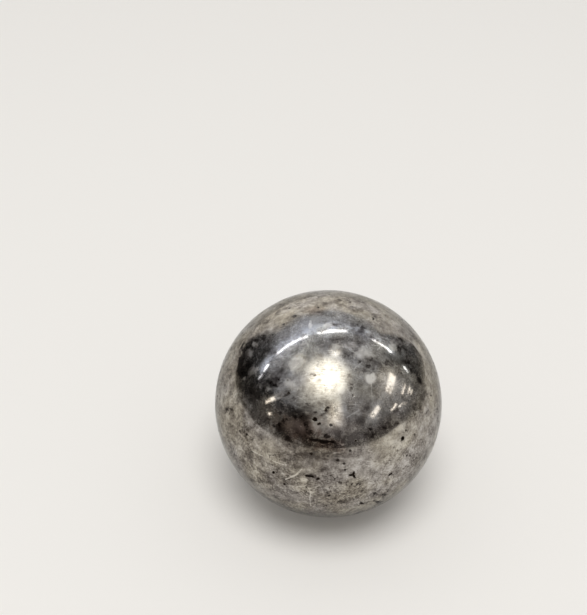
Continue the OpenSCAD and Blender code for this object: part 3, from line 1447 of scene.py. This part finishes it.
    def _floor_ends(self) -> None:
        """Stands a band as high as the ball on the floor where its mirror image ends early."""
        paint = self._glowing_paint("floor_end_glow")
        for number, end in enumerate(self.floor_ends):
            mesh = bmesh.new()
            glow = mesh.verts.layers.float_color.new(GLOW)
            posts = []
            for azimuth, drop in end.steps(self.floor_end_step_deg):
                foot = -self.floor_z / math.tan(math.radians(drop))
                level = room_direction(azimuth, 0) * foot
                low = mesh.verts.new(level + Vector((0, 0, self.floor_z)))
                low[glow] = (*end.colour, 1.0)
                high = mesh.verts.new(level - Vector((0, 0, self.floor_z)))
                high[glow] = (*self._brightness(azimuth, self.floor_end_top_deg), 1.0)
                posts.append((low, high))
            for (low, high), (next_low, next_high) in zip(posts, posts[1:]):
                mesh.faces.new((low, next_low, next_high, high))
            self._show_only_in_steel(add_mesh_object(f"floor_end_{number}", mesh), paint)

    @staticmethod
    def _glowing_paint(
        name: str, brightness: float = 1.0, colour: str | None = None
    ) -> bpy.types.Material:
        """Makes a paint that glows.

        Args:
            name: The paint's name.
            brightness: How bright it is.
            colour: Its colour as "#RRGGBB". Without one it glows as its mesh's colours say.

        Returns:
            The paint.
        """
        paint = bpy.data.materials.new(name)
        tree = cleared_tree(paint)
        if colour is None:
            shade = add_node(tree, "ShaderNodeAttribute", out="Color", attribute_name=GLOW)
        else:
            shade = linear_colour(colour)
        light = add_node(tree, "ShaderNodeEmission", {"Color": shade, "Strength": brightness})
        add_node(tree, "ShaderNodeOutputMaterial", {"Surface": light})
        return paint

    @staticmethod
    def _show_only_in_steel(lit: bpy.types.Object, paint: bpy.types.Material) -> None:
        """Gives a part of the room its paint and hides it from all but mirrored rays.

        Args:
            lit: The part of the room.
            paint: Its paint.
        """
        lit.data.materials.append(paint)
        lit.visible_camera = False
        lit.visible_diffuse = False
        lit.visible_transmission = False
        lit.visible_volume_scatter = False
        lit.visible_shadow = False

    def _brightness(self, azimuth: float, elevation: float) -> Light:
        """Gives the room's light in a direction.

        Args:
            azimuth: Degrees from +Y towards +X.
            elevation: Degrees above the horizon.

        Returns:
            The light that comes from there.
        """
        colour = Vector(self.ceiling)
        for part in (*self.zones, *self.glows):
            colour = colour.lerp(Vector(part.colour), part.share(azimuth, elevation))
        return tuple(colour.lerp(Vector(self.wash_colour), self._wash(azimuth, elevation)))

    def _wash(self, azimuth: float, elevation: float) -> float:
        """Says how strongly the tubes light the ceiling in a direction.

        Args:
            azimuth: Degrees from +Y towards +X.
            elevation: Degrees above the horizon.

        Returns:
            The strength, from 0 to 1.
        """
        towards = room_direction(azimuth, max(elevation, self.wash_lowest_deg))
        across, along = towards.x / towards.z, towards.y / towards.z
        run_start, slope = self.tube_run
        past = along - (run_start + slope * across)
        before, behind = self.wash_reach
        left, right = self.wash_ends
        fade = self.wash_end_fade
        beside = smooth_step(-before, 0, past) * (1 - smooth_step(0, behind, past))
        return beside * smooth_step(left - fade, left + fade, across) * (
            1 - smooth_step(right - fade, right + fade, across)
        )

    def _tubes(self) -> None:
        """Hangs a broken row of ceiling tubes across the room."""
        paint = self._glowing_paint("tube_glow", self.tube_brightness, self.tube_colour)
        for number, ends in enumerate(self.tubes):
            start, end = (
                Vector((*place, 1)) * self.tube_height for place in (ends[:2], ends[2:])
            )
            mesh = bmesh.new()
            bmesh.ops.create_cone(
                mesh, cap_ends=True, segments=self.tube_sides,
                radius1=self.tube_radius, radius2=self.tube_radius, depth=(end - start).length,
                matrix=Matrix.Translation((start + end) / 2)
                @ (end - start).to_track_quat("Z", "Y").to_matrix().to_4x4(),
            )
            self._show_only_in_steel(add_mesh_object(f"tube_{number}", mesh), paint)

    def _panels(self) -> None:
        """Hangs the small warm lamps."""
        for number, panel in enumerate(self.panels):
            mesh = bmesh.new()
            frame = place_frame(90 - panel.azimuth, panel.elevation, panel.turn)
            wide, high = (
                self.panel_radius * math.tan(math.radians(size / 2))
                for size in (panel.width, panel.height)
            )
            corners = [
                mesh.verts.new(frame @ Vector((self.panel_radius, wide * side, high * up)))
                for side, up in ((-1, -1), (1, -1), (1, 1), (-1, 1))
            ]
            mesh.faces.new(corners)
            paint = self._glowing_paint(
                f"panel_glow_{number}", panel.brightness, self.panel_colour
            )
            self._show_only_in_steel(add_mesh_object(f"panel_{number}", mesh), paint)

    def _key_light(self) -> None:
        """Hangs the soft light that lights the floor and throws the ball's shadow."""
        lamp = bpy.data.lights.new("key_light", "AREA")
        lamp.shape = "DISK"
        lamp.size = self.key_size
        lamp.energy = self.key_energy
        held = bpy.data.objects.new("key_light", lamp)
        held.location = self.key_place
        towards_ball = Vector() - Vector(self.key_place)
        held.rotation_euler = towards_ball.to_track_quat("-Z", "Y").to_euler()
        held.visible_glossy = False
        bpy.context.scene.collection.objects.link(held)

    def _world(self) -> None:
        """Fills the rest with white, at full strength only where it is seen."""
        world = bpy.data.worlds.new("studio")
        bpy.context.scene.world = world
        tree = cleared_tree(world)
        path = add_node(tree, "ShaderNodeLightPath").node.outputs
        seen = path["Is Camera Ray"]
        for kind in ("Is Glossy Ray", "Is Transmission Ray"):
            seen = add_node(tree, "ShaderNodeMath", {0: seen, 1: path[kind]}, operation="MAXIMUM")
        strength = add_node(
            tree, "ShaderNodeMapRange", {"Value": seen, "To Min": self.fill_strength, "To Max": 1.0}
        )
        light = add_node(
            tree, "ShaderNodeBackground", {"Color": (1.0, 1.0, 1.0, 1.0), "Strength": strength}
        )
        add_node(tree, "ShaderNodeOutputWorld", {"Surface": light})


@dataclass(frozen=True)
class ViewCamera:
    """The camera: close above the ball, looking down at it from the front."""

    place_in_radii: tuple[float, float, float] = (-0.3254, -6.9513, 6.6423)
    down_deg: float = 38.70
    roll_deg: float = 1.33
    focal_px: float = 1080.0
    sensor_mm: float = 36.0
    nearest_m: float = 0.01

    def build(self, radius: float) -> None:
        """Sets the camera up and makes it the scene's.

        Args:
            radius: The ball's radius in metres.
        """
        lens = bpy.data.cameras.new("view")
        lens.sensor_width = self.sensor_mm
        lens.lens = self.sensor_mm * self.focal_px / max(FRAME_WIDTH_PX, FRAME_HEIGHT_PX)
        lens.clip_start = self.nearest_m
        held = bpy.data.objects.new("view", lens)
        held.matrix_world = (
            Matrix.Translation(Vector(self.place_in_radii) * radius)
            @ Matrix.Rotation(math.radians(90 - self.down_deg), 4, "X")
            @ Matrix.Rotation(math.radians(self.roll_deg), 4, "Z")
        )
        bpy.context.scene.collection.objects.link(held)
        bpy.context.scene.camera = held


def main() -> None:
    """Builds the ball, its studio and the camera."""
    logging.basicConfig(level=logging.INFO, format="%(message)s")
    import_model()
    low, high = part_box(BALL_NODE)
    # The solid's least half-size, so that the dressed ball stays inside its box.
    radius = min(min(-x for x in low), min(high))
    bpy.context.scene.view_settings.view_transform = "Standard"
    ViewCamera().build(radius)
    ball = PittedBall(radius).build()
    LOG.info("%s: %d faces", ball.name, len(ball.data.polygons))
    Studio(floor_z=-radius).build()


if __name__ == "__main__":
    main()
